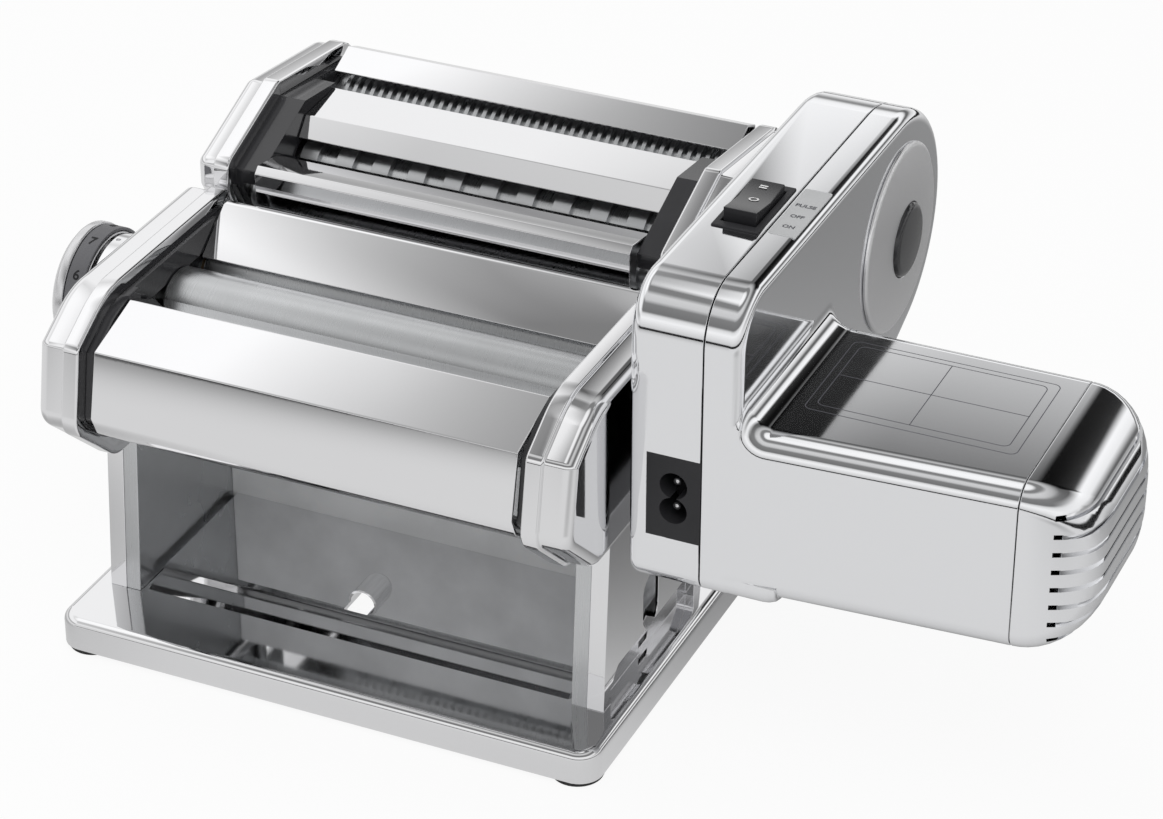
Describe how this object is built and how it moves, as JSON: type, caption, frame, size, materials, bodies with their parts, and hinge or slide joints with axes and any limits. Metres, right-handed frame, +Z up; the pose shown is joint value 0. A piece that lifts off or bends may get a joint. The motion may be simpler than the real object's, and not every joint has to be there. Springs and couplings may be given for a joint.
{
  "type": "pasta roller machine",
  "caption": "Table pasta machine with an adjustable roller pair, a thickness knob, a lift-off cutter head and a plug-in electric motor drive on a chromed steel stand.",
  "frame": {"origin": "on the table under the middle of the base plate", "axes": "+X along the rollers towards the motor, +Y from the front to the cutter head at the back, +Z up"},
  "size_m": [0.3456, 0.2103, 0.169],
  "materials": {
    "chromed_steel": "bright chrome plate",
    "satin_steel": "ground steel",
    "dark_steel": "plain steel",
    "alloy": "turned aluminium",
    "black_plastic": "satin black plastic",
    "chromed_plastic": "chromed plastic",
    "dark_gloss": "gloss black plastic",
    "bronze": "sintered bronze",
    "rubber": "moulded rubber"
  },
  "bodies": {
    "stand_and_head": {"base_plate": "chromed_steel", "rubber_feet": "rubber", "left_frame": "satin_steel", "right_frame": "satin_steel", "left_side_panel": "chromed_steel", "right_side_panel": "chromed_steel", "back_panel": "chromed_steel", "tie_rods": "dark_steel", "frame_screws": "satin_steel", "left_cover": "chromed_steel", "right_cover": "chromed_steel", "front_cover": "chromed_steel", "hopper_plate": "chromed_steel", "left_guard": "black_plastic", "right_guard": "black_plastic", "roller_bushes": "bronze", "rear_scraper": "satin_steel", "index_collar": "chromed_steel", "drive_flange": "chromed_steel"},
    "driven_roller": {"rear_roller": "satin_steel", "rear_gear": "dark_steel"},
    "roller_carriage": {"left_block": "dark_steel", "right_block": "dark_steel", "front_scraper": "satin_steel"},
    "adjustable_roller": {"front_roller": "satin_steel", "front_gear": "dark_steel"},
    "regulator": {"regulator_shaft": "satin_steel", "left_cam": "bronze", "right_cam": "bronze"},
    "thickness_knob": {"knob": "alloy", "knob_dial": "black_plastic"},
    "cutter_head": {"cutter_left_end": "satin_steel", "cutter_right_end": "satin_steel", "cutter_left_cover": "chromed_steel", "cutter_right_cover": "chromed_steel", "cutter_front_plate": "chromed_steel", "cutter_middle_plate": "chromed_steel", "cutter_rear_plate": "chromed_steel", "cutter_left_guard": "black_plastic", "cutter_right_guard": "black_plastic", "cutter_combs": "satin_steel"},
    "wide_front_cutter": {"wide_front_roller": "satin_steel"},
    "wide_rear_cutter": {"wide_rear_roller": "satin_steel"},
    "narrow_front_cutter": {"narrow_front_roller": "satin_steel"},
    "narrow_rear_cutter": {"narrow_rear_roller": "satin_steel"},
    "motor_drive": {"motor_inner_shell": "chromed_plastic", "motor_outer_shell": "chromed_plastic", "motor_end_cap": "chromed_plastic", "motor_badge": "chromed_plastic", "badge_boss": "dark_gloss", "switch_frame": "black_plastic", "power_inlet": "black_plastic", "motor_collar": "black_plastic", "motor_can": "dark_steel"},
    "motor_output": {"output_shaft": "satin_steel", "output_gear": "dark_steel"},
    "layshaft": {"reduction_gear": "dark_steel"},
    "motor_rotor": {"motor_rotor": "dark_steel"},
    "rocker": {"rocker_switch": "dark_gloss"}
  },
  "joints": [
    {"name": "driven_roller_spin", "type": "hinge", "parent": "stand_and_head", "child": "driven_roller", "pos_m": [0, 0.0073, 0.1045], "axis": [1, 0, 0], "continuous": true},
    {"name": "knob_turn", "type": "hinge", "parent": "stand_and_head", "child": "regulator", "pos_m": [-0.09, -0.02, 0.1045], "axis": [-1, 0, 0], "range_deg": [0, 324]},
    {"name": "knob_pull", "type": "slide", "parent": "regulator", "child": "thickness_knob", "axis": [-1, 0, 0], "range_m": [0, 0.005], "stiffness_N_per_m": 900, "springref_m": -0.004},
    {"name": "roller_gap", "type": "slide", "parent": "stand_and_head", "child": "roller_carriage", "axis": [0, -1, 0], "range_m": [0, 0.0042]},
    {"name": "adjustable_roller_spin", "type": "hinge", "parent": "roller_carriage", "child": "adjustable_roller", "pos_m": [0, -0.0203, 0.1045], "axis": [1, 0, 0], "continuous": true},
    {"name": "cutter_head_lift", "type": "slide", "parent": "stand_and_head", "child": "cutter_head", "axis": [0, 0, 1], "range_m": [0, 0.04]},
    {"name": "wide_cutter_spin", "type": "hinge", "parent": "cutter_head", "child": "wide_rear_cutter", "pos_m": [0, 0.0542, 0.123], "axis": [1, 0, 0], "continuous": true},
    {"name": "wide_cutter_mate_spin", "type": "hinge", "parent": "cutter_head", "child": "wide_front_cutter", "pos_m": [0, 0.0354, 0.123], "axis": [1, 0, 0], "continuous": true},
    {"name": "narrow_cutter_spin", "type": "hinge", "parent": "cutter_head", "child": "narrow_front_cutter", "pos_m": [0, 0.0738, 0.129], "axis": [1, 0, 0], "continuous": true},
    {"name": "narrow_cutter_mate_spin", "type": "hinge", "parent": "cutter_head", "child": "narrow_rear_cutter", "pos_m": [0, 0.0926, 0.129], "axis": [1, 0, 0], "continuous": true},
    {"name": "motor_unplug", "type": "slide", "parent": "stand_and_head", "child": "motor_drive", "axis": [1, 0, 0], "range_m": [0, 0.045]},
    {"name": "output_spin", "type": "hinge", "parent": "motor_drive", "child": "motor_output", "pos_m": [0.1, 0.0073, 0.1045], "axis": [1, 0, 0], "continuous": true},
    {"name": "layshaft_spin", "type": "hinge", "parent": "motor_drive", "child": "layshaft", "pos_m": [0.11, -0.02227, 0.10953], "axis": [1, 0, 0], "continuous": true},
    {"name": "rotor_spin", "type": "hinge", "parent": "motor_drive", "child": "motor_rotor", "pos_m": [0.16, -0.00675, 0.0943], "axis": [1, 0, 0], "continuous": true},
    {"name": "rocker_tilt", "type": "hinge", "parent": "motor_drive", "child": "rocker", "pos_m": [0.109, 0.012, 0.1625], "axis": [1, 0, 0], "range_deg": [-10, 10]}
  ],
  "couplings": [
    {"joint": "adjustable_roller_spin", "follows": "driven_roller_spin", "ratio": -1},
    {"joint": "output_spin", "follows": "driven_roller_spin", "ratio": 1},
    {"joint": "layshaft_spin", "follows": "driven_roller_spin", "ratio": -5},
    {"joint": "rotor_spin", "follows": "driven_roller_spin", "ratio": 24},
    {"joint": "knob_turn", "follows": "roller_gap", "rad_per_m": 1346.3},
    {"joint": "wide_cutter_mate_spin", "follows": "wide_cutter_spin", "ratio": -1},
    {"joint": "narrow_cutter_mate_spin", "follows": "narrow_cutter_spin", "ratio": -1}
  ]
}
